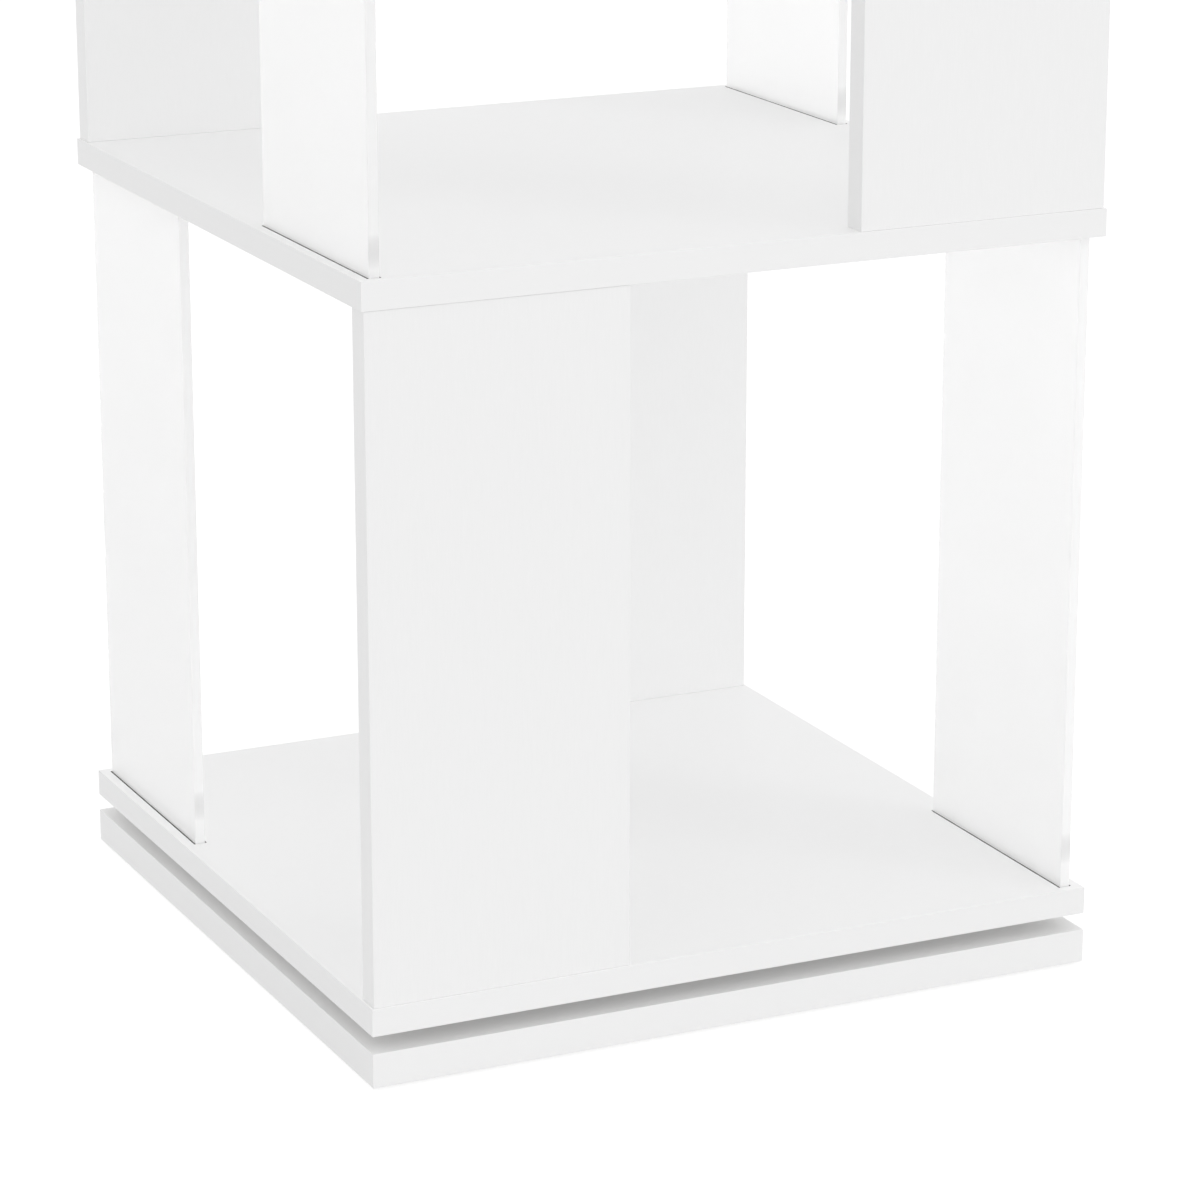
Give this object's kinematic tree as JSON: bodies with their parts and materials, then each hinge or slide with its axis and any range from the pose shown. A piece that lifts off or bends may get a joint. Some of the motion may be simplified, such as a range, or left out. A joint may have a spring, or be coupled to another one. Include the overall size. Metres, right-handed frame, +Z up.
{
  "type": "revolving bookcase",
  "caption": "Square revolving bookcase tower: open tiers of white boards on white and clear corner uprights, turning on a ball-bearing swivel above a fixed base.",
  "frame": {"origin": "on the floor, under the middle of the square base and on the swivel's axis", "axes": "+Z up along the swivel's axis; +X to the right and -Y towards the viewer, along the square's sides, with the bottom tier's front white upright at the -X end of the -Y side"},
  "size_m": [0.45, 0.45, 1.6601],
  "materials": {
    "white_board": "white melamine-faced chipboard with white edging, satin",
    "white_upright": "white melamine-faced chipboard with a fine upright grain, satin",
    "clear_acrylic": "acrylic sheet with a milky veil, faintly see-through, with polished edges",
    "aluminium": "plain turned aluminium",
    "zinc_plated_steel": "zinc-plated steel",
    "bearing_steel": "polished steel balls",
    "cage_nylon": "natural nylon",
    "glide_plastic": "dark moulded plastic"
  },
  "bodies": {
    "base": {"base_plate": "white_board", "floor_glide_1": "glide_plastic", "floor_glide_2": "glide_plastic", "floor_glide_3": "glide_plastic", "floor_glide_4": "glide_plastic", "bearing_outer_ring": "aluminium", "outer_ring_screw_1": "zinc_plated_steel", "outer_ring_screw_2": "zinc_plated_steel", "outer_ring_screw_3": "zinc_plated_steel", "outer_ring_screw_4": "zinc_plated_steel"},
    "tower": {"bearing_inner_ring": "aluminium", "inner_ring_screw_1": "zinc_plated_steel", "inner_ring_screw_2": "zinc_plated_steel", "inner_ring_screw_3": "zinc_plated_steel", "inner_ring_screw_4": "zinc_plated_steel", "bottom_deck": "white_board", "shelf_1": "white_board", "shelf_2": "white_board", "shelf_3": "white_board", "top_board": "white_board", "tier_1_front_panel": "white_upright", "tier_1_back_panel": "white_upright", "tier_1_left_clear_panel": "clear_acrylic", "tier_1_right_clear_panel": "clear_acrylic", "tier_2_front_panel": "white_upright", "tier_2_back_panel": "white_upright", "tier_2_left_clear_panel": "clear_acrylic", "tier_2_right_clear_panel": "clear_acrylic", "tier_3_front_panel": "white_upright", "tier_3_back_panel": "white_upright", "tier_3_left_clear_panel": "clear_acrylic", "tier_3_right_clear_panel": "clear_acrylic", "tier_4_front_panel": "white_upright", "tier_4_back_panel": "white_upright", "tier_4_left_clear_panel": "clear_acrylic", "tier_4_right_clear_panel": "clear_acrylic"},
    "ball_cage": {"bearing_ball_cage": "cage_nylon", "bearing_ball_1": "bearing_steel", "bearing_ball_2": "bearing_steel", "bearing_ball_3": "bearing_steel", "bearing_ball_4": "bearing_steel", "bearing_ball_5": "bearing_steel", "bearing_ball_6": "bearing_steel", "bearing_ball_7": "bearing_steel", "bearing_ball_8": "bearing_steel", "bearing_ball_9": "bearing_steel", "bearing_ball_10": "bearing_steel", "bearing_ball_11": "bearing_steel", "bearing_ball_12": "bearing_steel", "bearing_ball_13": "bearing_steel", "bearing_ball_14": "bearing_steel", "bearing_ball_15": "bearing_steel", "bearing_ball_16": "bearing_steel", "bearing_ball_17": "bearing_steel", "bearing_ball_18": "bearing_steel", "bearing_ball_19": "bearing_steel", "bearing_ball_20": "bearing_steel"}
  },
  "joints": [
    {"name": "tower_turn", "type": "hinge", "parent": "base", "child": "tower", "pos_m": [0, 0, 0.02704], "axis": [0, 0, 1], "continuous": true},
    {"name": "cage_turn", "type": "hinge", "parent": "base", "child": "ball_cage", "pos_m": [0, 0, 0.02704], "axis": [0, 0, 1], "continuous": true}
  ],
  "couplings": [
    {"joint": "cage_turn", "follows": "tower_turn", "ratio": 0.5}
  ]
}
